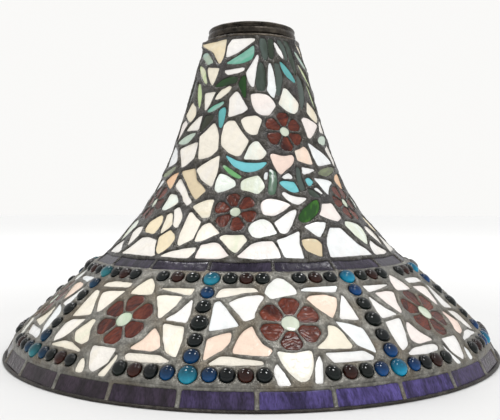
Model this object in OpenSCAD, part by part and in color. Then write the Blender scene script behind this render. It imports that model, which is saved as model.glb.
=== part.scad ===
// Flared leaded-glass lampshade: flat cut glass and cast glass jewels held in a soldered lead network.
// +Z is the shade's axis, the rim stands on z = 0, and angle 0 of every outline faces -Y.

/* [Shade] */
// Radius of the rim that the shade stands on
rim_radius = 228.5; // [228:0.5:229]
// Depth of the soldered lead lines, from the outside to the inside face
lead_depth = 5; // [4.5:0.5:6]
// Thickness of the cut sheet glass
glass_thickness = 3; // [2.5:0.5:3]
// How far the glass lies below the outside face of the lead
glass_recess = 1; // [0.8:0.2:1.2]

/* [Jewels] */
// Diameter of the large jewels at the corners and the middle of each column
large_jewel_d = 12.5; // [12:0.5:13]
// Diameter of the other jewels
small_jewel_d = 10.5; // [10:0.5:11]
// Height of a small jewel's dome, as a share of its diameter
dome_share = 0.3; // [0.24:0.02:0.36]

/* [Top] */
// Height of the underside of the top ring
ring_base_z = 288; // [287:0.5:289]
// Height of the whole shade
shade_height = 303; // [302:1:304]
// Inside radius of the top ring
ring_bore_r = 38; // [36:0.5:39]
// Diameter of the hole in the spider's hub, for a 1/8 IP threaded stem
stem_hole_d = 10.4; // [10.2:0.1:11]
// Thickness of the spider's arms
spider_t = 2.5; // [2:0.5:4]

/* [Hidden] */
$fn = 96;
panel_count = 9;
panel_step = 360 / panel_count;
panel_one = 8.5;
sector_count = 3;
sector_step = 360 / sector_count;

// Outside face of the lead as [height, radius]
profile = [
    [0, rim_radius], [14, rim_radius - 7.5], [34.2, rim_radius - 24.5], [58.2, rim_radius - 50],
    [84, rim_radius - 81], [92, rim_radius - 91], [108.2, rim_radius - 105.5], [128.2, rim_radius - 123],
    [154.2, rim_radius - 139], [186.2, rim_radius - 152], [220.2, rim_radius - 163], [255.2, rim_radius - 172.5],
    [ring_base_z, rim_radius - 181.5]
];
rim_h = 2;
border_low = 2.5;
border_high = 12.5;
border_top = 14;
border_count = 27;
waist_low = 84.5;
waist_high = 90.5;
skirt_top = 83.5;
waist_count = 18;

// Angle from a panel's middle at which the third of its border pieces ends
border_seam = 19;
// Angle from a panel's middle at which its leadwork ends
panel_seam = 17.7;
// Angle at which the first neck sector and the first waist piece begin
sector_seam = -53.4;

// Jewels of a panel as [angle, height], from the panel's middle; the column stands at its left edge
column = -20;
column_black = [[column, 40.5], [column, 60.5]];
column_black_large = [[column, 50.5]];
column_blue = [[column, 31.5], [column, 69.5]];
column_teal = [[column, 21], [column + 0.2, 78.5]];
row_low_z = 21.5;
row_low_black = [-12.9, -6.3, 6.3, 12.9];
row_low_brown = [-9.6, 9.6];
row_low_blue = [-16.1, 16.1];
row_high_z = 79;
row_high_black = [-14.5, -5.5, 5, 14.5];
row_high_brown = [-10, 9.8];

// Skirt flowers: six ruby panes about a pale centre
ruby_in = 8.5;
ruby_out = 22;
flower_centre_r = 6.5;
neck_ruby_in = 6;
neck_ruby_out = 18;
neck_centre_r = 4.2;
skirt_flower_a = [0, 51.5];
skirt_flower_b = [0.9, 50.5];
neck_flowers = [[24, 199.5], [-7.5, 129.5], [57.5, 137]];

// Outlines of the cut glass as [degrees from the panel's or sector's zero, height]
petals_a = [
    [[-5, 70], [-4.5, 74], [-3, 77.5], [-1, 80], [0.5, 79], [2, 76], [3, 72.5], [3, 69.5], [0, 68.5], [-3.5, 67]],
    [[-14, 64], [-12.5, 66], [-10, 68], [-7, 69], [-5.5, 68], [-7, 63], [-8, 58.5], [-8, 55], [-10, 53]],
    [[5.5, 66], [6.5, 68], [11, 68], [13.5, 66], [12.5, 61], [10, 54], [7.2, 61]],
    [[-12, 36], [-11.5, 41], [-10.5, 46], [-8.5, 50], [-7.8, 44.5], [-6.5, 39.5], [-4.5, 36], [-5.5, 33], [-12, 34.5]],
    [[4.5, 36.5], [6.5, 40], [8, 44], [8.5, 49.5], [10, 48.5], [11, 44.5], [12, 37], [11.5, 35.5]],
    [[-3.5, 35], [-0.5, 34], [3, 35], [3, 28], [2.4, 22.5], [1.2, 18.5], [0, 18.5], [-1, 21.5], [-2.5, 27]]
];
back_a = [
    [[-17.5, 67.5], [-17, 71.5], [-16, 73], [-8, 73.5], [-7, 71.5], [-11, 70.5], [-14, 68.5]],
    [[4.5, 71.5], [6, 73], [15.5, 73.5], [14, 70], [11, 70.5], [7, 71]],
    [[-17.5, 47], [-17.5, 64], [-16.5, 65], [-14.5, 60], [-11.5, 50]],
    [[-17.5, 30], [-17.5, 42], [-16, 44], [-13, 46], [-13, 41.5], [-14, 37]],
    [[-16.5, 27.5], [-14.5, 32], [-12, 32], [-9, 30.5], [-6.5, 29.5], [-6.5, 28]],
    [[12, 53], [15.5, 67.5], [16.2, 60], [16.5, 52]],
    [[10.5, 51.5], [14, 49], [16.2, 46], [16.8, 38], [16.6, 31.5], [13.5, 37], [12, 44.5]],
    [[6, 33], [14, 33], [15.8, 29.5], [15.5, 28], [7.2, 28]],
    [[-4.4, 25], [-3.8, 28], [-2.7, 22.5], [-1.8, 16.5], [-3.8, 16.5]],
    [[2.8, 17], [3.7, 28], [4.5, 32], [4.7, 29], [4, 17]]
];
petals_b = [
    [[-2.5, 67], [-2, 71], [-0.5, 75.5], [1, 78], [2.5, 75.5], [4, 71.5], [4.5, 67.5], [1, 67]],
    [[-13, 65], [-11.5, 66.5], [-4.8, 68], [-6.5, 61], [-7.8, 53.5], [-9, 53], [-11, 58]],
    [[6.5, 66.5], [8.5, 67.5], [13.5, 67], [12.5, 61], [10.3, 53], [9.5, 54], [8.5, 60]],
    [[-11, 39], [-8.5, 48], [-7.2, 47], [-7, 41], [-5, 35], [-6, 32.5], [-9, 34]],
    [[6.5, 34], [8.5, 39], [10, 47], [11.5, 43.5], [12.8, 36], [11.5, 33.5]],
    [[-2.8, 32.5], [3.2, 32.5], [2.8, 24], [0.5, 18], [-0.8, 19.5], [-2.3, 27]]
];
back_b = [
    [[-15.5, 69.5], [-15, 72], [-12, 73.5], [-4.5, 73.5], [-4.5, 71], [-9, 70.5]],
    [[6.5, 71.5], [16, 72.5], [15.5, 68.5], [11, 70]],
    [[-17.2, 58], [-17, 66], [-15, 65.5], [-12.5, 58], [-10.5, 50.5], [-17, 47.5]],
    [[-17, 34], [-17.2, 42], [-16, 45], [-11, 47], [-12, 40], [-13.5, 34], [-16, 30.5]],
    [[-16, 28], [-12.5, 32], [-10, 32], [-7, 29.5], [-5.5, 28]],
    [[11.8, 52.5], [14, 57], [16.5, 65], [17, 58], [16.8, 51.5]],
    [[11.8, 49.5], [16.5, 48.5], [17, 42], [16.8, 31], [14.5, 34], [13, 41]],
    [[6.2, 29.5], [6.8, 31], [13.5, 31], [15.8, 28], [11, 27], [6.8, 27.5]],
    [[-4.2, 21], [-3.7, 24.5], [-2.3, 20], [-2, 16.5], [-3.8, 16.5]],
    [[2, 16.5], [3.3, 23], [4.2, 29.5], [4.4, 26], [3.5, 16.5]]
];
neck_petals = [
    [[22.5, 224.5], [26, 232], [29.5, 239.5], [32, 239.5], [41.5, 227], [40, 220.5], [36, 217], [30, 219]],
    [[-0.5, 232.5], [5, 233.5], [13, 232], [16.5, 228], [19, 222.5], [13, 214.5], [8, 214.5], [4, 217], [1, 223]],
    [[-7.5, 209], [-4, 212], [3, 213], [7, 209.5], [5, 203], [3.5, 197], [0.5, 196.5], [-3.5, 199], [-6, 204.5]],
    [[-4.5, 174.5], [-1, 186], [2, 190], [4, 190], [9, 180], [7, 176], [5, 174.5]],
    [[12, 177.5], [13, 179], [20, 177], [26.5, 178], [27, 175], [25, 170.5], [17, 161.5], [15, 165], [13.5, 171]],
    [[29.5, 182], [34.5, 184], [38, 186.5], [40, 184.5], [41, 181], [41, 171.5], [36, 172], [30, 174]],
    [[42, 211.5], [46.5, 214], [52, 213.5], [61, 208.5], [57.5, 205], [52, 199.5], [47.5, 196], [44.5, 196],
        [43.5, 204]],
    [[4.5, 133], [5, 137], [7, 139.5], [10, 140], [14, 138.5], [18.5, 135], [15, 131], [10, 127], [5.5, 127.5]],
    [[-1, 115.5], [0, 120], [3, 123], [5.5, 123.5], [8, 120], [9.5, 112.5], [2.5, 109], [0.5, 110]],
    [[-12, 109], [-10.5, 111], [-6.5, 110.5], [-3.5, 111], [-2, 107], [-5.5, 98], [-7, 99.5]],
    [[-21.5, 106], [-21.5, 113.5], [-20.5, 118.5], [-18, 120.5], [-15, 115.5], [-13, 112.5], [-18.5, 107]],
    [[-29, 133.5], [-25.5, 137], [-22, 139], [-19, 139], [-19.5, 131], [-19.5, 125.5], [-22.5, 125], [-25.5, 129]],
    [[-20, 154.5], [-18.5, 162], [-15, 160.5], [-9.5, 155], [-9, 151], [-13, 148], [-17.5, 146], [-19.5, 148]],
    [[-5.5, 151], [-5.5, 154.5], [-3.5, 157], [3.5, 160.5], [6, 154.5], [6.5, 150], [3, 144.5], [-1, 147], [-5, 148]],
    [[39.5, 158.5], [52, 157.5], [54.5, 155.5], [50.5, 152.5], [47, 148.5], [45.5, 144.5], [43.5, 147], [41.5, 152.5]],
    [[33, 126.5], [35.5, 130.5], [38, 136], [44.5, 136.5], [45, 130], [45.5, 124.5], [42, 122], [36, 124.5]],
    [[45, 117.5], [47, 121], [50, 121], [55.5, 118], [56.5, 115], [55, 108.5], [51.3, 102.5], [50, 102.5], [47, 109]],
    [[58.5, 111], [59.5, 114.5], [62, 116], [64.5, 115.5], [66, 111.5], [66.2, 106.5], [64.8, 101], [63.4, 100]],
    [[-52.5, 120], [-50, 124], [-47.5, 126], [-45, 124], [-43.5, 120], [-43, 114.5], [-43.5, 111], [-50, 112],
        [-52.2, 115]],
    [[-49.3, 144.5], [-44, 143.5], [-42, 140.5], [-40, 137], [-42, 134.5], [-46, 131], [-50, 131.5], [-49.5, 137]],
    [[-61.5, 156.5], [-57, 161.5], [-50, 163.5], [-51.5, 152.5], [-53, 149.5], [-57, 152.5]]
];
neck_back = [
    [[-33, 93.5], [-29.5, 97.5], [-25.5, 99.5], [-20.5, 101], [-20.5, 97.5], [-22, 93.5]],
    [[-19, 93.5], [-18.5, 103], [-14, 105], [-12.5, 104.5], [-10.5, 100.5], [-8, 95.5], [-11, 93.5]],
    [[-4.5, 94.5], [-2.5, 99], [0, 104], [3, 106], [7.5, 106], [9, 100], [9.5, 94], [2, 93.5]],
    [[9.5, 107], [14, 109.5], [19, 113.5], [17.5, 105], [17.5, 93.5], [11.5, 94.5], [10.5, 101]],
    [[28, 93.5], [29, 102.5], [31, 108.5], [35.5, 116.5], [41, 116], [44.5, 102.5], [47, 98], [48, 93.5]],
    [[50.5, 93.5], [51, 97.5], [53.5, 102], [56, 104.5], [57.5, 100.5], [60, 97], [62, 94.5], [58.5, 93.5]],
    [[-55, 93.5], [-53, 98], [-50, 107], [-46, 108], [-40, 105.5], [-38.5, 100], [-36, 93.5]],
    [[-39, 108], [-37, 112], [-35.5, 114], [-32, 110], [-31, 106], [-32, 100], [-34.5, 95.5], [-36.5, 98]],
    [[22.5, 117], [24, 118.5], [29.5, 121], [33.5, 120.5], [32, 117], [27.5, 109.5], [26.5, 110]],
    [[9.8, 120.5], [13.5, 125], [18, 129.5], [21, 131.5], [20, 127], [17, 120], [14, 113.5], [13, 112.5],
        [11.5, 113]],
    [[-29.5, 113], [-30, 129], [-29, 129], [-26, 124.5], [-22.5, 121], [-23, 107.5], [-27.5, 102.5], [-28.5, 104]],
    [[-40, 131], [-38.5, 133.5], [-36.5, 131], [-33.5, 126], [-32.5, 122], [-32.5, 116], [-35, 118], [-37.5, 125]],
    [[-43, 126.5], [-41.5, 128], [-39.5, 126], [-36.5, 118.5], [-37, 116], [-39.5, 111.5], [-40.5, 113.5],
        [-41.5, 119.5]],
    [[-48, 152], [-47.5, 158], [-46.5, 158], [-43.5, 154], [-38.5, 148], [-35, 142.5], [-31, 137], [-33, 135],
        [-36.5, 138.5], [-39.5, 144]],
    [[-46, 164], [-37.5, 167], [-35.5, 163], [-33, 156], [-27.5, 150], [-25, 146.5], [-29.5, 140.5], [-32.5, 144],
        [-37.5, 151.5], [-43, 159]],
    [[-34.5, 165.5], [-32.5, 168.5], [-26.5, 173.5], [-21, 177.5], [-20.5, 164.5], [-22.5, 151], [-30, 157.5]],
    [[-39, 195.5], [-34.5, 200.5], [-29, 207], [-25.5, 201], [-23.5, 195], [-23, 183], [-27.5, 178], [-33, 176],
        [-36, 176]],
    [[-58, 185.5], [-54, 187], [-43.5, 191], [-40.8, 190], [-40, 184], [-40, 176.5], [-46, 170.5], [-49.5, 169.5],
        [-54.5, 178.5]],
    [[43, 190], [44.5, 190], [51, 186], [56.5, 183], [62, 177], [63.5, 173.5], [55, 172], [46.5, 170.5], [44, 178]],
    [[-57.5, 203], [-54.5, 207], [-50, 211.5], [-46, 214.5], [-42.5, 215], [-43, 203]],
    [[-69.5, 219], [-67.5, 223], [-65, 228.5], [-62.5, 229.5], [-58.5, 226.5], [-54, 224], [-51, 218.5], [-51, 216],
        [-54.5, 212.5], [-57.5, 211.5], [-65, 215.5]],
    [[-20.8, 195], [-20, 205], [-17, 208.5], [-13, 208.5], [-11, 205], [-8.5, 200], [-5.5, 195], [-2.5, 190.5],
        [-4, 186], [-7.5, 178], [-9.5, 177.5], [-15, 181], [-20, 187]],
    [[-17.5, 213], [-18, 229.5], [-16, 232], [-13, 235.5], [-11.5, 234], [-3.5, 219.5], [-7, 216.5]],
    [[-31.5, 229.5], [-30, 233.5], [-26.5, 238], [-20, 240.5], [-18.5, 240], [-19.5, 237], [-22.5, 234],
        [-27.5, 230.5]],
    [[-44.5, 236], [-33, 236], [-37.5, 225], [-39.8, 221], [-41, 221], [-42.5, 227]],
    [[-48.5, 261], [-33.5, 258.5], [-35.5, 250], [-38, 244], [-41, 246.5], [-45, 253]],
    [[-69.5, 285], [-30.5, 286], [-30.5, 273], [-31.5, 268], [-33.5, 264.5], [-36, 265], [-45.5, 275.5], [-50, 278.5],
        [-58, 281.5]],
    [[-26, 269], [-26, 280], [-22, 285.5], [0, 285.5], [3.5, 284.5], [-2.5, 281], [-15, 273.5]],
    [[-26, 255.5], [-20, 256.5], [-7.5, 257.5], [-8, 255.5], [-13.5, 253.5], [-22.5, 252.5]],
    [[-4.5, 253], [1.5, 263], [6, 270], [6, 267], [4, 259], [2, 246], [1.5, 240], [0, 240.5], [-2.5, 245]],
    [[13.5, 237.5], [15, 243], [15.5, 250], [16.5, 257.5], [18, 262.5], [20, 256], [20.8, 248], [20.5, 238],
        [18.5, 230.5], [16.5, 232.5]],
    [[25.5, 283], [27, 282.5], [33, 274], [34, 269.5], [33, 269], [30, 271.5], [27.5, 275]],
    [[7.2, 157], [7.8, 162], [8.8, 163], [8.6, 159], [7.9, 156.5]],
    [[17.5, 158.2], [19.5, 160.5], [22, 162], [23.5, 159], [23, 157.8]],
    [[16, 144.5], [17, 146], [19.5, 143.5], [23, 141.5], [28.5, 140.5], [26, 138], [23, 136], [20, 137.5],
        [17.5, 140.5]],
    [[31.5, 162], [32.2, 167.5], [35, 167], [41, 166], [38.5, 164.8], [35, 163]],
    [[36.5, 149], [38, 150], [39.5, 148.5], [41, 145.5], [40, 145]]
];
neck_dark = [
    [[-11, 243], [-9.2, 247], [-6.8, 250.5], [-6, 246.5], [-5.5, 239], [-5.8, 230.5], [-7.5, 234.5], [-9.5, 239]],
    [[-33, 241.5], [-27.5, 247], [-20, 249.5], [-13.5, 248.5], [-14, 244.5], [-18, 244], [-26, 242]],
    [[4.2, 243], [5, 250], [6.5, 258.5], [8.5, 263], [10.5, 260.5], [12, 253], [11.5, 242.5], [10, 237], [5.5, 237]],
    [[9.5, 278], [9.5, 285.5], [14.5, 285.5], [16, 279], [15.5, 268.5], [13.2, 265.5], [11, 269.5]],
    [[18.7, 285.5], [18.5, 276], [18.3, 268.5], [20.5, 267.5], [22.8, 271], [23.2, 285.5]],
    [[23.5, 262.5], [26.5, 262.5], [28, 256], [28.8, 248.5], [26.5, 241.5], [24, 234], [22, 233], [22.8, 242]],
    [[30, 285], [33.5, 285.5], [38, 279.5], [39, 271.5], [37.5, 266.5], [36.5, 272], [34, 278]],
    [[38.5, 285.5], [44, 285.5], [47.5, 279], [49, 268], [48, 258], [45.8, 255], [44, 261], [42.8, 270], [41.5, 279]],
    [[47.5, 251.5], [50, 254.5], [53, 250], [53.5, 240], [51, 230], [45.8, 222], [44.5, 225], [46, 233], [46.5, 243]],
    [[9, 146], [9.5, 150], [10.3, 158], [11, 166], [13.5, 163.5], [13.8, 157], [12.8, 150], [11.5, 144.5], [9.5, 144]],
    [[27.2, 148], [26.8, 156], [27.2, 163], [28.2, 167.5], [29.3, 166], [29.2, 157], [29.8, 149]],
    [[31.8, 144], [32.2, 148.3], [34, 148.3], [37, 144.5], [38, 142.5], [35, 142.5]],
    [[43.5, 162.7], [49, 166.3], [54, 168.3], [60, 169.3], [65, 168.8], [62, 166], [54, 162], [48, 161.7]],
    [[-40.2, 200.5], [-40, 207], [-38.8, 214.5], [-31.5, 214.5], [-31, 211.5], [-35, 206]]
];
neck_turquoise = [
    [[-26.3, 217], [-25.5, 219.5], [-22.3, 221.5], [-21.2, 220], [-21, 213], [-21.8, 205], [-23, 203], [-24.3, 205]],
    [[-37.5, 218.5], [-35.5, 221.5], [-31, 224], [-25, 226.5], [-23.3, 226.5], [-23.8, 225], [-27.5, 222], [-32.5, 219]],
    [[-24.5, 262], [-11, 270.5], [-2.5, 276], [1.5, 279], [2, 275], [1, 269], [-1, 266], [-7, 263.5], [-15, 262]],
    [[29, 264.5], [30.5, 264.5], [35, 261], [39.5, 256], [42.5, 251.5], [43.5, 247.5], [42, 247], [37.5, 249.5],
        [33.5, 253], [31, 257.5]],
    [[-16, 177], [-10, 173], [-4, 171], [2, 170.5], [9, 171], [6, 167], [2.5, 164.5], [-2.5, 163.5], [-6, 165],
        [-11, 169]],
    [[15.5, 154], [17.5, 155.5], [24, 154.5], [25, 151], [25.2, 147], [22.5, 146], [20, 147.5], [17.5, 150.5]],
    [[32.2, 157], [35, 158.5], [37.2, 155], [34.3, 152], [33, 152.5]],
    [[-66, 192], [-62, 195.5], [-56, 198.5], [-50, 199.5], [-44.5, 199], [-47, 195.5], [-50, 192.8], [-53, 191.5],
        [-58, 190.7]]
];
neck_green = [
    [[19, 102.5], [19.5, 107], [23, 108], [25.5, 107], [26.5, 104], [25.5, 99], [24.5, 94.5], [23, 95.5],
        [19.8, 99]],
    [[21.3, 123], [21.8, 126], [24.5, 130.5], [28.5, 135], [32, 138], [34.8, 139], [34.8, 136], [33.5, 131],
        [30, 126.2], [26, 122.5], [22.5, 121.3]],
    [[-17.5, 168.5], [-16.5, 169], [-9.5, 162], [-5.8, 158.5], [-7, 157.5], [-9.5, 159], [-13.5, 163]],
    [[-67.5, 275.5], [-65, 277.5], [-58.5, 277], [-52, 272.5], [-46, 268.5], [-42, 265.5], [-50, 265], [-54, 266.5],
        [-59, 270]],
    [[-67, 265], [-63.5, 264.5], [-56.5, 261.5], [-52, 257], [-48.5, 251], [-45, 245.5], [-48.5, 247], [-54, 251.5],
        [-59.5, 256.5]],
    [[-59, 247.5], [-55.5, 246], [-52, 240.5], [-49, 234], [-48, 227], [-48, 223], [-50, 225], [-53, 230.5],
        [-56, 237]]
];

function total(v, i = 0) = i < len(v) ? v[i] + total(v, i + 1) : v[0] * 0;
function mean(v) = total(v) / len(v);
function unit(v) = v / norm(v);
function radius_at(z) = lookup(z, profile);
function slope_at(z) = (radius_at(z + 2) - radius_at(z - 2)) / 4;
function place(p) = [radius_at(p[1]) * sin(p[0]), -radius_at(p[1]) * cos(p[0]), p[1]];
function along(p) = [cos(p[0]), sin(p[0]), 0];
function upward(p) = unit([slope_at(p[1]) * sin(p[0]), -slope_at(p[1]) * cos(p[0]), 1]);

// The flower's own plane coordinates, in mm from its centre, as [degrees, height]
function from_flower(centre, radius, turn) =
    let (z = centre[1] + radius * sin(turn) * upward(centre)[2])
    [centre[0] + radius * cos(turn) * 180 / PI / radius_at(z), z];
function ruby_pane(centre, inner, outer, turn) = [
    for (p = [[inner, -17], [0.86 * outer, -22], [outer, -11], [outer, 11], [0.86 * outer, 22], [inner, 17]])
        from_flower(centre, p[0], turn + p[1])
];
function ruby_ring(centre, inner, outer, start) = [
    for (k = [0 : 5]) ruby_pane(centre, inner, outer, start + 60 * k)
];
function flower_centre(centre, radius) = [for (k = [0 : 7]) from_flower(centre, radius, 45 * k + 22.5)];

function mirrored(outlines) = [for (o = outlines) [for (p = o) [-p[0], p[1]]]];
function panel_angle(i) = panel_one + (i - 1) * panel_step;
// Panels take the two drawings in turn: the second one is mirrored on the panels that follow a first one
function panel_kind(i) = [0, 2, 0, 1, 2, 0, 1, 0, 1][i - 1];
function panel_petals(i) = [petals_a, petals_b, mirrored(petals_b)][panel_kind(i)];
function panel_back(i) = [back_a, back_b, mirrored(back_b)][panel_kind(i)];
function panel_flower(i) = [skirt_flower_a, skirt_flower_b, [-skirt_flower_b[0], skirt_flower_b[1]]][panel_kind(i)];
function panel_ruby(i) = ruby_ring(panel_flower(i), ruby_in, ruby_out, [25, 30, 30][panel_kind(i)]);
function neck_ruby_panes() = [for (k = [0 : 2]) each ruby_ring(neck_flowers[k], neck_ruby_in, neck_ruby_out, 30 + 12 * k)];
function neck_centres() = [for (c = neck_flowers) flower_centre(c, neck_centre_r)];
function neck_outlines() = concat(neck_petals, neck_back, neck_dark, neck_turquoise, neck_green, neck_ruby_panes(),
    neck_centres());
function low_row() = concat(row_low_black, row_low_brown, row_low_blue);
function high_row() = concat(row_high_black, row_high_brown);
function band_pane(from, to, low, high, gap_low, gap_high) = [
    [from + gap_low, low], [to - gap_low, low], [to - gap_high, high], [(from + to) / 2, high], [from + gap_high, high]
];

// A flat prism under the middle of an outline, from the depth `deep` to the depth `shallow`
module prism(outline, deep, shallow) {
    corners = [for (p = outline) place(p)];
    middle = mean(corners);
    centre = mean(outline);
    u = along(centre);
    v = upward(centre);
    n = cross(u, v);
    frame = [[u[0], v[0], n[0], middle[0]], [u[1], v[1], n[1], middle[1]], [u[2], v[2], n[2], middle[2]], [0, 0, 0, 1]];
    multmatrix(frame)
        translate([0, 0, -deep])
            linear_extrude(deep - shallow)
                polygon([for (c = corners) [(c - middle) * u, (c - middle) * v]]);
}

module pane(outline) prism(outline, glass_recess + glass_thickness, glass_recess);

module panes(outlines) {
    for (o = outlines) pane(o);
}

module windows(outlines) {
    for (o = outlines) prism(o, 2.5 * lead_depth, -2 * lead_depth);
}

// Children stand on the outside face, with their +Z along its normal
module at_surface(p) {
    u = along(p);
    v = upward(p);
    n = cross(u, v);
    c = place(p);
    multmatrix([[u[0], v[0], n[0], c[0]], [u[1], v[1], n[1], c[1]], [u[2], v[2], n[2], c[2]], [0, 0, 0, 1]])
        children();
}

// A cast jewel: a disc let into the lead, with a low dome
module jewel(p, d) {
    rise = dome_share * d;
    edge = 0.6;
    dome_r = (d * d / 4 + rise * rise) / (2 * rise);
    at_surface(p)
        intersection() {
            translate([0, 0, -0.8 * lead_depth])
                cylinder(d = d, h = 2 * lead_depth, $fn = 32);
            translate([0, 0, edge + rise - dome_r])
                sphere(r = dome_r, $fn = 64);
        }
}

module jewel_window(p, d) {
    at_surface(p)
        translate([0, 0, -2.5 * lead_depth])
            cylinder(d = d, h = 5 * lead_depth, $fn = 32);
}

// Part of the lead shell between two heights and two angles
module shell(low, high, from, to) {
    heights = concat([low], [for (p = profile) if (p[0] > low && p[0] < high) p[0]], [high]);
    outer = [for (z = heights) [radius_at(z), z]];
    inner = [for (i = [len(heights) - 1 : -1 : 0])
        [radius_at(heights[i]) - lead_depth * norm([1, slope_at(heights[i])]), heights[i]]];
    rotate([0, 0, from - 90])
        rotate_extrude(angle = to - from, $fn = 180)
            polygon(concat(outer, inner));
}

module skirt_leadwork(i) {
    color([0.36, 0.34, 0.31])
        rotate([0, 0, panel_angle(i)])
            difference() {
                shell(border_top, skirt_top, panel_seam - panel_step, panel_seam);
                windows(panel_petals(i));
                windows(panel_back(i));
                windows(panel_ruby(i));
                windows([flower_centre(panel_flower(i), flower_centre_r)]);
                for (p = concat(column_black, column_blue)) jewel_window(p, small_jewel_d);
                for (p = concat(column_black_large, column_teal)) jewel_window(p, large_jewel_d);
                for (a = low_row()) jewel_window([a, row_low_z], small_jewel_d);
                for (a = high_row()) jewel_window([a, row_high_z], small_jewel_d);
            }
}

// Border panes from a panel's own left seam onwards
function border_panes(range) = [
    for (k = range)
        let (from = border_seam - panel_step + k * 360 / border_count)
        band_pane(from, from + 360 / border_count, border_low, border_high, 0.55, 0.55)
];
function waist_panes(range) = [
    for (k = range)
        let (from = sector_seam + k * 360 / waist_count)
        band_pane(from, from + 360 / waist_count, waist_low, waist_high, 0.8, 0.8)
];
function leftmost(outline) = min([for (p = outline) p[0]]);
function rightmost(outline) = max([for (p = outline) p[0]]);
function shifted(outline, by) = [for (p = outline) [p[0] + by, p[1]]];
// Outlines of the neighbouring sectors that reach over a sector's own seams
function neck_strays() = [
    for (o = neck_outlines())
        each concat(
            leftmost(o) < sector_seam ? [shifted(o, sector_step)] : [],
            rightmost(o) > sector_seam + sector_step ? [shifted(o, -sector_step)] : []
        )
];

module border_leadwork() {
    color([0.36, 0.34, 0.31])
        difference() {
            shell(rim_h, border_top, 0, 360);
            each_panel() windows(border_panes([0 : 2]));
        }
}

module neck_leadwork(i) {
    color([0.3, 0.29, 0.27])
        rotate([0, 0, (i - 1) * sector_step])
            difference() {
                shell(skirt_top, ring_base_z, sector_seam, sector_seam + sector_step);
                windows(neck_outlines());
                windows(neck_strays());
                windows(waist_panes([0 : 5]));
            }
}

module skirt_background_glass(i) {
    color([0.94, 0.94, 0.92]) rotate([0, 0, panel_angle(i)]) panes(panel_back(i));
}

module skirt_petals(i) {
    color([0.97, 0.9, 0.84]) rotate([0, 0, panel_angle(i)]) panes(panel_petals(i));
}

module skirt_ruby(i) {
    color([0.4, 0.1, 0.07]) rotate([0, 0, panel_angle(i)]) panes(panel_ruby(i));
}

module each_sector() {
    for (i = [0 : sector_count - 1]) rotate([0, 0, i * sector_step]) children();
}

module each_panel() {
    for (i = [1 : panel_count]) rotate([0, 0, panel_angle(i)]) children();
}

module neck_background_glass(i) {
    color([0.93, 0.92, 0.89]) rotate([0, 0, (i - 1) * sector_step]) panes(neck_back);
}

module neck_petals(i) {
    color([0.96, 0.9, 0.83]) rotate([0, 0, (i - 1) * sector_step]) panes(neck_petals);
}

module border_glass() {
    color([0.28, 0.2, 0.5]) each_panel() panes(border_panes([0 : 2]));
}

module waist_glass() {
    color([0.18, 0.14, 0.26]) each_sector() panes(waist_panes([0 : 5]));
}

module neck_ruby() {
    color([0.38, 0.1, 0.07]) each_sector() panes(neck_ruby_panes());
}

module neck_dark_leaves() {
    color([0.18, 0.24, 0.19]) each_sector() panes(neck_dark);
}

module neck_turquoise_leaves() {
    color([0.35, 0.75, 0.76]) each_sector() panes(neck_turquoise);
}

module neck_green_leaves() {
    color([0.5, 0.68, 0.35]) each_sector() panes(neck_green);
}

module flower_centres() {
    color([0.8, 0.86, 0.76]) {
        for (i = [1 : panel_count])
            rotate([0, 0, panel_angle(i)]) pane(flower_centre(panel_flower(i), flower_centre_r));
        each_sector() panes(neck_centres());
    }
}

module black_jewels() {
    color([0.05, 0.08, 0.06])
        each_panel() {
            for (p = column_black) jewel(p, small_jewel_d);
            for (p = column_black_large) jewel(p, large_jewel_d);
            for (a = row_low_black) jewel([a, row_low_z], small_jewel_d);
            for (a = row_high_black) jewel([a, row_high_z], small_jewel_d);
        }
}

module brown_jewels() {
    color([0.3, 0.1, 0.05])
        each_panel() {
            for (a = row_low_brown) jewel([a, row_low_z], small_jewel_d);
            for (a = row_high_brown) jewel([a, row_high_z], small_jewel_d);
        }
}

module blue_jewels() {
    color([0.05, 0.3, 0.6])
        each_panel() {
            for (p = column_blue) jewel(p, small_jewel_d);
            for (a = row_low_blue) jewel([a, row_low_z], small_jewel_d);
        }
}

module teal_jewels() {
    color([0.05, 0.45, 0.6])
        each_panel() {
            for (p = column_teal) jewel(p, large_jewel_d);
        }
}

// The rim came, with the flat foot that the shade stands on
module bottom_rim() {
    color([0.36, 0.34, 0.31])
        rotate_extrude($fn = 180)
            polygon([[rim_radius - 5.5, 0], [rim_radius, 0], [rim_radius + 0.8, 0.8], [radius_at(rim_h), rim_h],
                [radius_at(rim_h) - 5.5, rim_h]]);
}

// Turned brass ring: a flange on the lead, a main bead and a thin top bead
module top_ring() {
    flange_r = 46;
    bead_r = 42.5;
    color([0.25, 0.22, 0.19])
        rotate_extrude($fn = 180)
            polygon([
                [ring_bore_r, ring_base_z], [flange_r, ring_base_z], [flange_r + 0.4, ring_base_z + 1.2],
                [flange_r - 0.6, ring_base_z + 3], [bead_r - 1.5, ring_base_z + 4.2], [bead_r - 0.3, ring_base_z + 5.5],
                [bead_r, ring_base_z + 8], [bead_r - 0.4, ring_base_z + 10.5], [bead_r - 1.6, ring_base_z + 11.5],
                [bead_r - 0.8, shade_height - 2.8], [bead_r - 0.4, shade_height - 1.5], [bead_r - 1, shade_height - 0.4],
                [bead_r - 2, shade_height], [ring_bore_r + 1, shade_height], [ring_bore_r, shade_height - 1]
            ]);
}

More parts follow.
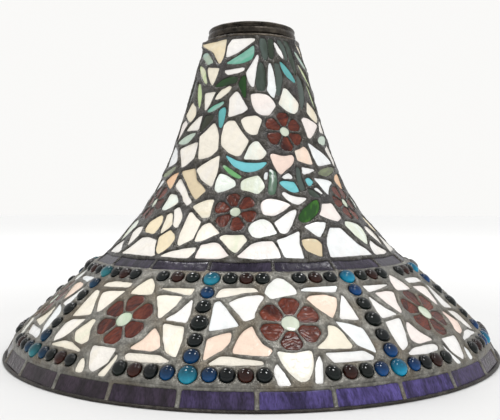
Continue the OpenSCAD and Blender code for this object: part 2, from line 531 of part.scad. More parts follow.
// Three-armed spider soldered inside the ring, with the hole that the lamp's stem passes through
module spider() {
    hub_d = 25;
    arm_w = 8;
    spider_z = ring_base_z + 3;
    color([0.55, 0.45, 0.25])
        translate([0, 0, spider_z])
            difference() {
                union() {
                    cylinder(d = hub_d, h = spider_t);
                    for (k = [0 : 2])
                        rotate([0, 0, 120 * k + 45])
                            intersection() {
                                translate([0, -arm_w / 2, 0])
                                    cube([ring_bore_r + 5, arm_w, spider_t]);
                                cylinder(r = ring_bore_r, h = spider_t);
                            }
                }
                translate([0, 0, -1])
                    cylinder(d = stem_hole_d, h = spider_t + 2);
            }
}

for (i = [1 : panel_count]) {
    skirt_leadwork(i);
    skirt_background_glass(i);
    skirt_petals(i);
    skirt_ruby(i);
}
for (i = [1 : sector_count]) {
    neck_leadwork(i);
    neck_background_glass(i);
    neck_petals(i);
}
top_ring();
spider();
bottom_rim();
border_leadwork();
border_glass();
waist_glass();
neck_ruby();
neck_dark_leaves();
neck_turquoise_leaves();
neck_green_leaves();
flower_centres();
black_jewels();
brown_jewels();
blue_jewels();
teal_jewels();
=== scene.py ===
"""Looks of a flared leaded-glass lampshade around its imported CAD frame.

Every pane and jewel is rebuilt from its CAD solid, with rounded corners, relief and its own tints.
The lead is rebuilt as domed solder seams that fill what the glass leaves open. The rim and the
ring are turned anew, and the spider keeps its CAD shape. Lengths are in mm until a piece is made,
and angles are measured from -Y towards +X.
"""

import math

import bpy
import numpy as np
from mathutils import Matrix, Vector, kdtree, noise
from mathutils.geometry import delaunay_2d_cdt


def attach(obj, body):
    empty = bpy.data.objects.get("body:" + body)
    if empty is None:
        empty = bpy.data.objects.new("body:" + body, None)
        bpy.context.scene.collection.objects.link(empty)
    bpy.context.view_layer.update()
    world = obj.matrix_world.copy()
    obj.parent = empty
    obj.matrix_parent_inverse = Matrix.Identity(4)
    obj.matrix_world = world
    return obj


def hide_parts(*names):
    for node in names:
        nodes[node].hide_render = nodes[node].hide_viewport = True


MM = 0.001
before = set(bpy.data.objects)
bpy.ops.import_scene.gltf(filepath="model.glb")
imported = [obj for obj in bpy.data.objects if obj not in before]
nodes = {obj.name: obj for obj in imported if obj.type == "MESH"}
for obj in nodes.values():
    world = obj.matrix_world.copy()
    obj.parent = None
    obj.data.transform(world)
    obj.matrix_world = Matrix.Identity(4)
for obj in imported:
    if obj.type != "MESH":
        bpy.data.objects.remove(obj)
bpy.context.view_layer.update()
rng = np.random.default_rng(11)

PANELS, SECTORS = 9, 3
PANEL_ONE, PANEL_STEP = 8.5, 40.0
SECTOR_SEAM, SECTOR_STEP = -53.4, 120.0
PANEL_SEAM = 17.7
RIM_H, BORDER_TOP, SKIRT_TOP, RING_BASE = 2.0, 14.0, 83.5, 288.0
GLASS_THICKNESS, LOWEST_GLASS = 3.0, 0.3
OUTLINE_STEP = 1.15
# How far a pane runs on under its solder, and the width and drop of its softened edge
TUCK, ARRIS, ARRIS_DROP = 0.5, 1.2, 0.35
# A jewel's depth below the face, the top of its skirt, and its dome's rise as a share of its radius
JEWEL_DEPTH, JEWEL_SKIRT, JEWEL_RISE, JEWEL_SIDES = 2.6, 0.25, 0.6, 32
# A seam's dip at its edges, its depth there, and what its middle adds to that depth
SEAM_DIP, SEAM_DEPTH, SEAM_BELLY = 0.7, 2.2, 1.9

# Outside face of the lead as (height, radius), smoothed so that its kinks don't show
PROFILE = np.array([
    (-20, 239.2), (0, 228.5), (14, 221), (34.2, 204), (58.2, 178.5), (84, 147.5), (92, 137.5),
    (108.2, 123), (128.2, 105.5), (154.2, 89.5), (186.2, 76.5), (220.2, 65.5), (255.2, 56),
    (288, 47), (308, 41.5),
])
FINE_STEP, SMOOTHED_OVER = 0.25, np.arange(-6, 6.1, 0.5)
FINE_Z = np.arange(-10, 298, FINE_STEP)
FINE_R = np.mean([np.interp(FINE_Z + w, PROFILE[:, 0], PROFILE[:, 1]) for w in SMOOTHED_OVER], axis=0)
FINE_D = np.gradient(FINE_R, FINE_Z)
FINE_S = np.concatenate([[0], np.cumsum(FINE_STEP * np.hypot(1, (FINE_D[1:] + FINE_D[:-1]) / 2))])


def radius(z):
    return np.interp(z, FINE_Z, FINE_R)


def slant(z):
    """Length along the face from its lowest point up to a height."""
    return np.interp(z, FINE_Z, FINE_S)


def height(s):
    return np.interp(s, FINE_S, FINE_Z)


def embed(theta, z, offset=0.0, lift=0.0):
    """Points on the smoothed outside face, moved outwards by `offset` and along the normal by `lift`."""
    d = np.interp(z, FINE_Z, FINE_D)
    k = 1 / np.hypot(1, d)
    r = radius(z) + offset + lift * k
    return np.stack([r * np.sin(theta), -r * np.cos(theta), z - lift * d * k], -1)


def polar(points):
    return np.arctan2(points[..., 0], -points[..., 1]), points[..., 2]


def srgb(r, g, b):
    c = np.array([r, g, b]) / 255
    return tuple(np.where(c <= 0.04045, c / 12.92, ((c + 0.055) / 1.055) ** 2.4))


# ---------------------------------------------------------------- shapes of the CAD solids


def solids(name):
    """(points, triangles) of each separate solid of a CAD node, in mm."""
    mesh = nodes[name].data
    mesh.calc_loop_triangles()
    co = np.empty(len(mesh.vertices) * 3, np.float32)
    mesh.vertices.foreach_get("co", co)
    tri = np.empty(len(mesh.loop_triangles) * 3, np.int32)
    mesh.loop_triangles.foreach_get("vertices", tri)
    key, inverse = np.unique(np.round(co.reshape(-1, 3) / MM, 2), axis=0, return_inverse=True)
    tri = inverse.reshape(-1)[tri].reshape(-1, 3)
    tri = tri[(tri[:, 0] != tri[:, 1]) & (tri[:, 1] != tri[:, 2]) & (tri[:, 2] != tri[:, 0])]
    # Joined points take the lowest label among them, until nothing changes
    label = np.arange(len(key))
    while True:
        new = label.copy()
        np.minimum.at(new, tri.ravel(), np.repeat(label[tri].min(1), 3))
        new = new[new]
        if (new == label).all():
            break
        label = new
    mark = label[tri[:, 0]]
    return [(key.astype(float), tri[mark == value]) for value in np.unique(mark)]


def outer_face(points, tri):
    """The loop of corners of a flat pane's outer face, and that face's normal."""
    a, b, c = (points[tri[:, i]] for i in range(3))
    n = np.cross(b - a, c - a)
    area = np.linalg.norm(n, axis=1)
    n /= np.maximum(area, 1e-9)[:, None]
    theta, z = polar(points[np.unique(tri)].mean(0))
    out = embed(theta, z, lift=1.0) - embed(theta, z)
    best = np.argmax(area * (n @ out > 0.8))
    flat = tri[n @ n[best] > 0.999]
    edges = {(int(i), int(j)) for t in flat for i, j in zip(t, np.roll(t, -1))}
    follow = {i: j for i, j in edges if (j, i) not in edges}
    start = next(iter(sorted(follow)))
    loop, at = [], start
    while True:
        loop.append(at)
        at = follow[at]
        if at == start or len(loop) > len(follow):
            break
    return points[loop], n[best]


class Piece:
    """A pane or a jewel with its own plane: origin, u along the turn, v upwards, n outwards."""

    def __init__(self, origin, n, node):
        self.origin, self.n, self.node = origin, n, node
        self.theta, self.z = (float(x) for x in polar(origin))
        u = np.array([math.cos(self.theta), math.sin(self.theta), 0.0])
        self.u = u - n * (u @ n)
        self.u /= np.linalg.norm(self.u)
        self.v = np.cross(n, self.u)

    def flat(self, points):
        d = points - self.origin
        return np.stack([d @ self.u, d @ self.v], -1)

    def lifted(self, flat, h=0.0):
        h = np.broadcast_to(h, len(flat))
        return self.origin + flat[:, :1] * self.u + flat[:, 1:2] * self.v + h[:, None] * self.n


def rounded(loop, cut_at):
    """Corners replaced by short curves; near-straight ones by long ones, so that cut edges flow."""
    out = []
    for i, corner in enumerate(loop):
        before, after = loop[i - 1] - corner, loop[(i + 1) % len(loop)] - corner
        lb, la = np.linalg.norm(before), np.linalg.norm(after)
        straight = -(before @ after) / (lb * la)
        reach = cut_at + 5.0 * max(0.0, straight - 0.55)
        b, a = (corner + x / l * min(reach, 0.42 * l) for x, l in ((before, lb), (after, la)))
        for t in (0, 0.25, 0.5, 0.75, 1):
            out.append((1 - t) ** 2 * b + 2 * t * (1 - t) * corner + t * t * a)
    return np.array(out)


def resampled(loop, step, wobble):
    closed = np.vstack([loop, loop[:1]])
    s = np.concatenate([[0], np.cumsum(np.linalg.norm(np.diff(closed, axis=0), axis=1))])
    n = max(10, int(round(s[-1] / step)))
    at = np.arange(n) * s[-1] / n
    p = np.stack([np.interp(at, s, closed[:, k]) for k in (0, 1)], -1)
    side = edge_normals(p)
    turn = at / s[-1] * 2 * math.pi
    for k in (2, 3, 5, 9):
        depth = wobble / k ** 0.5 * rng.uniform(-1, 1)
        p = p + side * (depth * np.sin(k * turn + rng.uniform(0, 6.3)))[:, None]
    return p


def edge_normals(loop):
    t = np.roll(loop, -1, 0) - np.roll(loop, 1, 0)
    n = np.stack([t[:, 1], -t[:, 0]], -1)
    return n / np.maximum(np.linalg.norm(n, axis=1), 1e-9)[:, None]


def inside(points, loop):
    """Which points lie inside a closed loop, by the even-odd rule."""
    found = np.zeros(len(points), bool)
    lo, hi = loop.min(0), loop.max(0)
    near = np.flatnonzero(((points >= lo) & (points <= hi)).all(1))
    if len(near) == 0:
        return found
    x, y = points[near, 0][:, None], points[near, 1][:, None]
    x0, y0 = loop[:, 0][None], loop[:, 1][None]
    x1, y1 = np.roll(loop[:, 0], -1)[None], np.roll(loop[:, 1], -1)[None]
    crosses = (y0 > y) != (y1 > y)
    with np.errstate(divide="ignore", invalid="ignore"):
        at = x0 + (y - y0) / (y1 - y0) * (x1 - x0)
    found[near] = (crosses & (x < at)).sum(1) % 2 == 1
    return found


def to_loop(points, loop):
    """Distance of each point from a closed loop."""
    best = np.full(len(points), 1e9)
    for a, b in zip(loop, np.roll(loop, -1, 0)):
        d = b - a
        t = np.clip((points - a) @ d / max(d @ d, 1e-12), 0, 1)
        best = np.minimum(best, np.linalg.norm(points - a - t[:, None] * d, axis=1))
    return best


def hexes(lo, hi, step):
    rows = []
    for k, y in enumerate(np.arange(lo[1] + step / 2, hi[1], step * 0.87)):
        x = np.arange(lo[0] + step * (0.25 + 0.5 * (k % 2)), hi[0], step)
        rows.append(np.stack([x, np.full(len(x), y)], -1))
    return np.vstack(rows) if rows else np.zeros((0, 2))


def triangulated(points, loops):
    """Constrained triangles over loops (closed) and loose points, all in one plane."""
    verts, edges = [], []
    for loop in loops:
        first = len(verts)
        verts += [Vector(p) for p in loop.tolist()]
        edges += [(first + i, first + (i + 1) % len(loop)) for i in range(len(loop))]
    verts += [Vector(p) for p in points.tolist()]
    made, _, faces, *_ = delaunay_2d_cdt(verts, edges, [], 0, 1e-5)
    return np.array([tuple(v) for v in made]), np.array([f for f in faces if len(f) == 3], int)


# ---------------------------------------------------------------- building pieces


class Build:
    """Collects solids for one piece: points in mm, faces, and values held by the points."""

    def __init__(self):
        self.points, self.faces, self.values, self.count = [], [], {}, 0

    def add(self, points, faces, **values):
        self.points.append(points)
        self.faces += [tuple(int(i) + self.count for i in f) for f in faces]
        for name, value in values.items():
            value = np.asarray(value, float)
            if value.ndim == 1:
                value = np.tile(value, (len(points), 1))
            self.values.setdefault(name, []).append(value)
        self.count += len(points)

    def make(self, name, material, replaces, sharp):
        mesh = bpy.data.meshes.new(name)
        points = np.vstack(self.points) * MM
        mesh.from_pydata(points.tolist(), [], self.faces)
        for key, rows in self.values.items():
            rows = np.vstack(rows)
            kind = "FLOAT_COLOR" if rows.shape[1] == 4 else "FLOAT_VECTOR"
            attribute = mesh.attributes.new(key, kind, "POINT")
            attribute.data.foreach_set("color" if kind == "FLOAT_COLOR" else "vector",
                                       rows.astype(np.float32).ravel())
        mesh.validate()
        mesh.shade_smooth()
        mesh.set_sharp_from_angle(angle=math.radians(sharp))
        mesh.materials.append(material)
        made = bpy.data.objects.new(name, mesh)
        bpy.context.scene.collection.objects.link(made)
        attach(made, "root")
        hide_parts(*replaces)


def closed_by_walls(tri, count):
    """Faces of a closed slab whose top points are 0..count-1 and whose bottom points follow them."""
    edges = {(int(i), int(j)) for t in tri for i, j in zip(t, np.roll(t, -1))}
    rim = [(i, j) for i, j in edges if (j, i) not in edges]
    return (
        [tuple(t) for t in tri.tolist()]
        + [(t[2] + count, t[1] + count, t[0] + count) for t in tri.tolist()]
        + [(j, i, i + count, j + count) for i, j in sorted(rim)]
    )


def lathe(profile, segments, wobble, grain):
    """Closed ring turned from a closed (radius, height) outline, with lumps of up to `wobble`."""
    profile = np.array(profile, float)
    turn = np.arange(segments) * 2 * math.pi / segments
    r, z = profile[:, 0][None], profile[:, 1][None]
    side = edge_normals(profile)
    p = np.stack([r * np.sin(turn)[:, None], -r * np.cos(turn)[:, None], z + 0 * turn[:, None]], -1)
    lump = np.array([[noise.noise(Vector(q) * grain) + 0.4 * noise.noise(Vector(q) * grain * 3.1)
                      for q in row] for row in p]) * wobble
    r = r + side[:, 0] * lump
    z = np.maximum(z + side[:, 1] * lump, 0)
    p = np.stack([r * np.sin(turn)[:, None], -r * np.cos(turn)[:, None], z], -1)
    n, m = segments, len(profile)
    faces = [
        (i * m + j, ((i + 1) % n) * m + j, ((i + 1) % n) * m + (j + 1) % m, i * m + (j + 1) % m)
        for i in range(n) for j in range(m)
    ]
    return p.reshape(-1, 3), faces


# ---------------------------------------------------------------- tints

WHITE, COOL, WARM = srgb(249, 247, 244), srgb(246, 249, 249), srgb(247, 242, 234)
CREAM, IVORY, BUTTER = srgb(250, 243, 228), srgb(244, 236, 216), srgb(243, 227, 192)
GOLD, PEACH, APRICOT = srgb(236, 208, 158), srgb(249, 224, 204), srgb(244, 200, 160)
BLUSH, ROSE, SALMON = srgb(250, 240, 234), srgb(248, 224, 210), srgb(248, 216, 192)
MINT, CELADON = srgb(240, 247, 238), srgb(226, 232, 205)
SAND, SEA, TEAL = srgb(226, 208, 174), srgb(104, 178, 152), srgb(98, 172, 172)
CYAN, AQUA, MIST = srgb(106, 190, 192), srgb(124, 206, 214), srgb(168, 198, 190)
SAGE, LIME, OLIVE = srgb(172, 182, 156), srgb(196, 216, 160), srgb(150, 166, 112)
LEAF, MOSS, BOTTLE = srgb(96, 176, 44), srgb(30, 74, 20), srgb(10, 46, 16)
PINE, SLATE, UMBER = srgb(46, 58, 44), srgb(78, 90, 84), srgb(60, 50, 38)
FERN, FROST = srgb(118, 182, 118), srgb(196, 212, 196)

# Tints of a neck sector's panes by (angle, height): main, second, share of the second, streak angle
NECK_PETALS = [
    (32, 227, CREAM, MINT, 0.4, 60), (9, 224, WHITE, BLUSH, 0.5, 20), (0, 205, PEACH, CREAM, 0.6, 120),
    (3, 182, CREAM, MINT, 0.4, 70), (19, 173, PEACH, ROSE, 0.7, 20), (36, 179, CREAM, PEACH, 0.5, 60),
    (50, 205, WHITE, BLUSH, 0.6, 30), (10, 134, WHITE, BLUSH, 0.5, 0), (4, 117, MINT, WHITE, 0.4, 40),
    (-7, 107, CREAM, CELADON, 0.3, 80), (-18, 113, WARM, CREAM, 0.5, 30), (-23, 132, BUTTER, IVORY, 0.6, 10),
    (-15, 153, WHITE, MINT, 0.6, 80), (0, 152, MINT, CELADON, 0.4, 90), (47, 152, MINT, COOL, 0.6, 60),
    (40, 129, WHITE, BLUSH, 0.6, 20), (51, 113, MINT, CELADON, 0.3, 70), (63, 110, BLUSH, WARM, 0.5, 60),
    (-47, 118, GOLD, BUTTER, 0.6, 80), (-45, 137, IVORY, MINT, 0.5, 40), (-55, 156, BUTTER, APRICOT, 0.6, 50),
]
NECK_BACK = [
    (-25, 97, WARM, CREAM, 0.4, 0), (-13, 99, WARM, BLUSH, 0.5, 30), (3, 100, WHITE, BLUSH, 0.4, 0),
    (14, 103, WHITE, COOL, 0.4, 90), (38, 104, WHITE, COOL, 0.4, 60), (56, 98, WARM, WHITE, 0.4, 0),
    (-46, 101, IVORY, WARM, 0.5, 20), (-35, 105, IVORY, BUTTER, 0.5, 80), (28, 116, WHITE, COOL, 0.4, 0),
    (15, 121, COOL, WHITE, 0.5, 60), (-27, 116, WARM, CREAM, 0.5, 90), (-36, 125, IVORY, WARM, 0.5, 80),
    (-40, 120, SAND, IVORY, 0.6, 80), (-40, 147, IVORY, WARM, 0.5, 60), (-35, 154, BUTTER, SAND, 0.6, 25),
    (-27, 165, WARM, CREAM, 0.5, 60), (-30, 190, WARM, CREAM, 0.6, 80), (-47, 181, IVORY, WARM, 0.5, 60),
    (52, 180, WHITE, COOL, 0.5, 30), (-49, 209, IVORY, WARM, 0.5, 60), (-60, 220, BUTTER, IVORY, 0.5, 60),
    (-12, 194, WARM, CREAM, 0.6, 70), (-12, 226, WHITE, WARM, 0.4, 80), (-24, 235, WARM, IVORY, 0.5, 20),
    (-40, 228, IVORY, WARM, 0.5, 80), (-40, 252, BUTTER, IVORY, 0.6, 70), (-43, 275, IVORY, BUTTER, 0.5, 40),
    (-13, 280, WHITE, WARM, 0.4, 20), (-16, 255, WHITE, WARM, 0.4, 0), (2, 254, COOL, WHITE, 0.5, 80),
    (17, 246, WHITE, COOL, 0.5, 90), (30, 275, COOL, WHITE, 0.5, 80),
    (8, 160, srgb(180, 200, 214), COOL, 0.5, 90),
    (21, 160, COOL, WHITE, 0.5, 0), (21, 141, COOL, WHITE, 0.5, 30), (36, 165, COOL, WHITE, 0.4, 0),
    (39, 148, COOL, WHITE, 0.4, 60),
]
NECK_DARK = [
    (-8, 241, BOTTLE, MOSS, 0.4, 70), (-22, 245, PINE, MOSS, 0.3, 20), (8, 249, PINE, SLATE, 0.4, 85),
    (13, 276, PINE, SLATE, 0.4, 85), (20, 276, PINE, SLATE, 0.3, 85), (25, 248, PINE, SLATE, 0.6, 80),
    (36, 277, PINE, SLATE, 0.5, 70), (45, 271, SLATE, PINE, 0.4, 80), (49, 239, PINE, SLATE, 0.6, 70),
    (11, 153, SLATE, srgb(84, 112, 92), 0.6, 85), (28, 158, PINE, SLATE, 0.6, 85),
    (35, 145, SLATE, PINE, 0.4, 60),
    (54, 166, srgb(104, 108, 88), OLIVE, 0.3, 10), (-36, 209, UMBER, PINE, 0.4, 60),
]
NECK_TURQUOISE = [
    (-23, 213, TEAL, CYAN, 0.4, 80), (-30, 223, MIST, SEA, 0.3, 20), (-6, 269, SEA, MIST, 0.35, 25),
    (36, 255, CYAN, TEAL, 0.5, 130), (-3, 169, CYAN, AQUA, 0.5, 0), (21, 151, AQUA, CYAN, 0.3, 30),
    (34, 155, TEAL, AQUA, 0.5, 0), (-54, 195, MIST, FROST, 0.6, 10),
]
NECK_GREEN = [
    (23, 102, CELADON, SAND, 0.6, 0), (28, 130, LEAF, MOSS, 0.42, 55), (-11, 162, FERN, MINT, 0.3, 35),
    (-55, 271, SAGE, MIST, 0.4, 20), (-55, 256, LIME, IVORY, 0.3, 60), (-52, 234, OLIVE, LIME, 0.6, 70),
]
# Tints of a panel's panes by (angle from its middle, height), in three schemes
PANEL_TINTS = {
    "a": [
        (-1, 73, MINT, WHITE, 0.4, 80), (-9, 63, BLUSH, WHITE, 0.6, 30), (9, 63, SALMON, PEACH, 0.7, 150),
        (-9, 40, BLUSH, PEACH, 0.8, 50), (9, 42, CREAM, IVORY, 0.6, 130), (0, 27, MINT, CREAM, 0.4, 85),
        (-13, 71, WARM, CREAM, 0.5, 0), (10, 72, WARM, COOL, 0.5, 0), (-16, 57, WHITE, COOL, 0.5, 80),
        (-15, 40, CREAM, PEACH, 0.6, 60), (-11, 30, WARM, CREAM, 0.6, 20), (15, 58, COOL, WHITE, 0.5, 80),
        (14, 42, WHITE, COOL, 0.5, 80), (12, 30, COOL, WHITE, 0.4, 0), (-3, 22, COOL, WHITE, 0.4, 80),
        (4, 25, COOL, WHITE, 0.4, 80),
    ],
    "b": [
        (1, 72, BUTTER, IVORY, 0.6, 70), (-9, 61, BUTTER, CREAM, 0.7, 40), (10, 61, APRICOT, CREAM, 0.7, 150),
        (-8, 40, CELADON, IVORY, 0.5, 60), (10, 39, CREAM, PEACH, 0.6, 120), (0, 26, IVORY, WARM, 0.5, 85),
        (-10, 72, IVORY, CREAM, 0.5, 0), (12, 71, WARM, IVORY, 0.5, 0), (-15, 58, IVORY, CREAM, 0.4, 60),
        (-15, 39, IVORY, WARM, 0.5, 60), (-10, 30, WARM, IVORY, 0.5, 20), (15, 57, WARM, WHITE, 0.5, 80),
        (15, 41, WARM, IVORY, 0.4, 80), (10, 29, WARM, CREAM, 0.5, 0), (-3, 20, IVORY, CREAM, 0.5, 80),
        (3, 22, IVORY, CREAM, 0.4, 80),
    ],
    "c": [
        (-1, 72, WHITE, BLUSH, 0.5, 80), (9, 61, WARM, BLUSH, 0.6, 140), (-10, 61, WHITE, BLUSH, 0.7, 40),
        (8, 40, BLUSH, ROSE, 0.6, 120), (-10, 39, WHITE, BLUSH, 0.7, 60), (0, 26, MINT, WHITE, 0.6, 85),
        (10, 72, WARM, WHITE, 0.5, 0), (-12, 71, WARM, WHITE, 0.5, 0), (15, 58, WARM, WHITE, 0.5, 80),
        (15, 39, WHITE, WARM, 0.5, 80), (10, 30, COOL, WHITE, 0.5, 0), (-15, 57, COOL, WHITE, 0.5, 80),
        (-15, 41, COOL, WHITE, 0.5, 80), (-10, 29, COOL, WHITE, 0.5, 0), (3, 20, COOL, WHITE, 0.4, 80),
        (-3, 22, COOL, WHITE, 0.4, 80),
    ],
}
# The scheme of each panel, from panel 1 on
PANEL_KINDS = "acabcabab"


def degrees_from(theta, middle):
    return (math.degrees(theta) - middle + 180) % 360 - 180


def tint_of(table, angle, z):
    """The tints in the row whose place is nearest, where places a neck sector apart count as one."""
    spread = radius(z) * math.pi / 180

    def away(row):
        turn = (row[0] - angle + SECTOR_STEP / 2) % SECTOR_STEP - SECTOR_STEP / 2
        return (turn * spread) ** 2 + (row[1] - z) ** 2

    return min(table, key=away)[2:]


def sector_angle(theta):
    return (math.degrees(theta) - SECTOR_SEAM) % SECTOR_STEP + SECTOR_SEAM


def panel_of(theta):
    return int(round(degrees_from(theta, PANEL_ONE) / PANEL_STEP)) % PANELS


# ---------------------------------------------------------------- materials


def new_material(name):
    m = bpy.data.materials.new(name)
    m.use_nodes = True
    m.node_tree.nodes.clear()
    return m, m.node_tree


def wire(tree, kind, inputs=(), **settings):
    """A node with its settings, and its inputs set to a value or linked from a socket."""
    node = tree.nodes.new(kind)
    for key, value in settings.items():
        setattr(node, key, value)
    for key, value in dict(inputs).items():
        socket = node.inputs[key]
        if isinstance(value, bpy.types.NodeSocket):
            tree.links.new(value, socket)
        else:
            socket.default_value = value
    return node


def finish_material(tree, inputs):
    shader = wire(tree, "ShaderNodeBsdfPrincipled", inputs)
    wire(tree, "ShaderNodeOutputMaterial", {"Surface": shader.outputs[0]})


def rgba(c):
    return (*c[:3], 1.0)


def noise_of(tree, vector, scale, detail, rough=0.5):
    inputs = {"Vector": vector, "Scale": scale, "Detail": detail, "Roughness": rough}
    return wire(tree, "ShaderNodeTexNoise", inputs).outputs[0]


def ramp(tree, factor, *stops):
    node = wire(tree, "ShaderNodeValToRGB", {0: factor})
    while len(node.color_ramp.elements) < len(stops):
        node.color_ramp.elements.new(0.5)
    for element, (at, colour) in zip(node.color_ramp.elements, stops):
        element.position = at
        element.color = rgba(colour) if hasattr(colour, "__len__") else (colour, colour, colour, 1)
    return node.outputs[0]


def blend(tree, kind, factor, a, b):
    node = tree.nodes.new("ShaderNodeMix")
    node.data_type, node.blend_type = "RGBA", kind
    for socket, value in zip((node.inputs[0], node.inputs[6], node.inputs[7]), (factor, a, b)):
        if isinstance(value, bpy.types.NodeSocket):
            tree.links.new(value, socket)
        else:
            socket.default_value = value if isinstance(value, float) else rgba(value)
    return node.outputs[2]


def bump(tree, value, strength, distance):
    inputs = {"Height": value, "Strength": strength, "Distance": distance}
    return wire(tree, "ShaderNodeBump", inputs).outputs[0]


def object_mm(tree):
    coords = tree.nodes.new("ShaderNodeTexCoord")
    return wire(tree, "ShaderNodeMapping", {0: coords.outputs["Object"], 3: (1000, 1000, 1000)}).outputs[0]


def lead_material(name, dark, middle, light, patch, rough):
    """Patinated solder: mottled greys, brown patches, and lighter high spots with darker low edges by the
    glass, which are rubbed wear with painted highlight and painted shade.
    """
    m, t = new_material(name)
    p = object_mm(t)
    mottle = noise_of(t, p, 0.16, 5, 0.62)
    patches = ramp(t, noise_of(t, p, 0.035, 3, 0.55), (0.46, 0.0), (0.62, 0.85))
    grime = ramp(t, noise_of(t, p, 0.6, 3, 0.6), (0.4, 0.72), (0.62, 1.0))
    base = ramp(t, mottle, (0.33, dark), (0.5, middle), (0.68, light))
    colour = blend(t, "MIX", patches, base, patch)
    # Crowns and lumps of the seams are tinted lighter and their low edges darker: rubbed wear, with painted
    # highlight and painted shade.
    raised = wire(t, "ShaderNodeAttribute", attribute_name="raise").outputs["Fac"]
    rubbed_wear_and_painted_highlight = ramp(t, raised, (0.0, 0.62), (0.55, 0.95), (1.0, 1.12))
    colour = blend(t, "MULTIPLY", 1.0, colour, rubbed_wear_and_painted_highlight)
    colour = blend(t, "MULTIPLY", 1.0, colour, grime)
    roughness = wire(t, "ShaderNodeMapRange", {0: mottle, 3: rough - 0.12, 4: rough + 0.16}).outputs[0]
    finish_material(t, {
        "Base Color": colour, "Metallic": 0.55, "Roughness": roughness,
        "Normal": bump(t, noise_of(t, p, 0.7, 4, 0.6), 0.5, 0.0014),
    })
    return m


def sheet_material(name, rough, texture, scale=0.09, deep=0.0, gloss=0.5):
    """Streaky sheet glass: each pane carries its two tints, the second one's share and its streaks' way."""
    m, t = new_material(name)
    tint = wire(t, "ShaderNodeAttribute", attribute_name="tint").outputs["Color"]
    other = wire(t, "ShaderNodeAttribute", attribute_name="streak").outputs["Color"]
    grain = wire(t, "ShaderNodeAttribute", attribute_name="grain").outputs["Vector"]
    held = wire(t, "ShaderNodeAttribute", attribute_name="share").outputs["Vector"]
    share = wire(t, "ShaderNodeSeparateXYZ", {0: held})
    along = wire(t, "ShaderNodeMapping", {0: grain, 3: (0.32, 1.0, 1.0)}).outputs[0]
    wisps = noise_of(t, along, scale, 4, 0.6)
    shifted = wire(t, "ShaderNodeMath", {0: wisps, 1: share.outputs[0]}, operation="ADD").outputs[0]
    fraction = ramp(t, shifted, (0.72, 0.0), (1.12, 1.0))
    colour = blend(t, "MIX", fraction, tint, other)
    clouds = ramp(t, noise_of(t, grain, scale * 1.6, 3, 0.55), (0.32, 0.9), (0.6, 0.985))
    colour = blend(t, "MULTIPLY", 1.0, colour, clouds)
    if deep:
        threads = ramp(t, noise_of(t, along, scale * 7, 2, 0.5), (0.35, 1.0 - deep), (0.6, 1.0))
        colour = blend(t, "MULTIPLY", 1.0, colour, threads)
    relief = noise_of(t, grain, 0.35, 3, 0.5)
    roughness = wire(t, "ShaderNodeMapRange", {0: wisps, 3: rough * 0.8, 4: rough * 1.5}).outputs[0]
    finish_material(t, {
        "Base Color": colour, "Roughness": roughness, "IOR": 1.5, "Specular IOR Level": gloss,
        "Normal": bump(t, relief, texture, 0.0015),
    })
    return m


def jewel_material(name, rough):
    m, t = new_material(name)
    tint = wire(t, "ShaderNodeAttribute", attribute_name="tint").outputs["Color"]
    p = object_mm(t)
    veil = ramp(t, noise_of(t, p, 0.25, 3, 0.6), (0.3, 0.75), (0.65, 1.0))
    colour = blend(t, "MULTIPLY", 1.0, tint, veil)
    patchy = noise_of(t, p, 0.5, 2)
    roughness = wire(t, "ShaderNodeMapRange", {0: patchy, 3: rough, 4: rough * 2.2}).outputs[0]
    finish_material(t, {
        "Base Color": colour, "Roughness": roughness, "IOR": 1.5, "Specular IOR Level": 0.32,
        "Normal": bump(t, noise_of(t, p, 0.4, 2), 0.06, 0.001),
    })
    return m


def bronze_material(name, dark, light, rough):
    m, t = new_material(name)
    p = object_mm(t)
    tarnish = noise_of(t, p, 0.11, 5, 0.65)
    raised = wire(t, "ShaderNodeAttribute", attribute_name="raise").outputs["Fac"]
    base = ramp(t, tarnish, (0.35, dark), (0.7, light))
    # Lighter on the outermost parts and darker on the inner ones: rubbed wear with painted highlight and
    # painted shade.
    colour = blend(t, "MULTIPLY", 1.0, base, ramp(t, raised, (0.0, 0.4), (0.6, 0.7), (1.0, 1.4)))
    roughness = wire(t, "ShaderNodeMapRange", {0: tarnish, 3: rough - 0.1, 4: rough + 0.18}).outputs[0]
    finish_material(t, {
        "Base Color": colour, "Metallic": 0.85, "Roughness": roughness,
        "Normal": bump(t, noise_of(t, p, 0.5, 3), 0.4, 0.0012),
    })
    return m


LEAD = lead_material(
    "patinated_solder",
    srgb(92, 90, 84), srgb(126, 124, 117), srgb(160, 158, 150), srgb(112, 103, 88), 0.32,
)
NECK_LEAD = lead_material(
    "dark_solder",
    srgb(52, 49, 44), srgb(78, 75, 68), srgb(116, 114, 112), srgb(72, 70, 70), 0.26,
)
RIM_LEAD = lead_material(
    "dark_came",
    srgb(34, 31, 28), srgb(52, 48, 43), srgb(84, 79, 72), srgb(44, 38, 32), 0.4,
)
OPAL = sheet_material("opalescent_sheet", 0.2, 0.3)
BRIGHT = sheet_material("streaky_leaf_sheet", 0.12, 0.08, gloss=0.35)
RUBY = sheet_material("rippled_ruby_sheet", 0.22, 0.10, 0.14, 0.45, 0.3)
VIOLET = sheet_material("streaky_violet_sheet", 0.2, 0.10, 0.13, 0.5, 0.28)
JEWEL = jewel_material("cast_jewel", 0.03)
BRONZE = bronze_material("dark_bronze", srgb(40, 36, 32), srgb(104, 96, 86), 0.26)
BRASS = bronze_material("dull_brass", srgb(120, 98, 56), srgb(176, 148, 92), 0.4)


# ---------------------------------------------------------------- panes and jewels


def panes_of(name):
    found = []
    for points, tri in solids(name):
        loop, n = outer_face(points, tri)
        pane = Piece(loop.mean(0), n, name)
        pane.corners = pane.flat(loop)
        if np.cross(pane.corners, np.roll(pane.corners, -1, 0)).sum() < 0:
            pane.corners = pane.corners[::-1]
        found.append(pane)
    return sorted(found, key=lambda p: (round(p.z), p.theta))


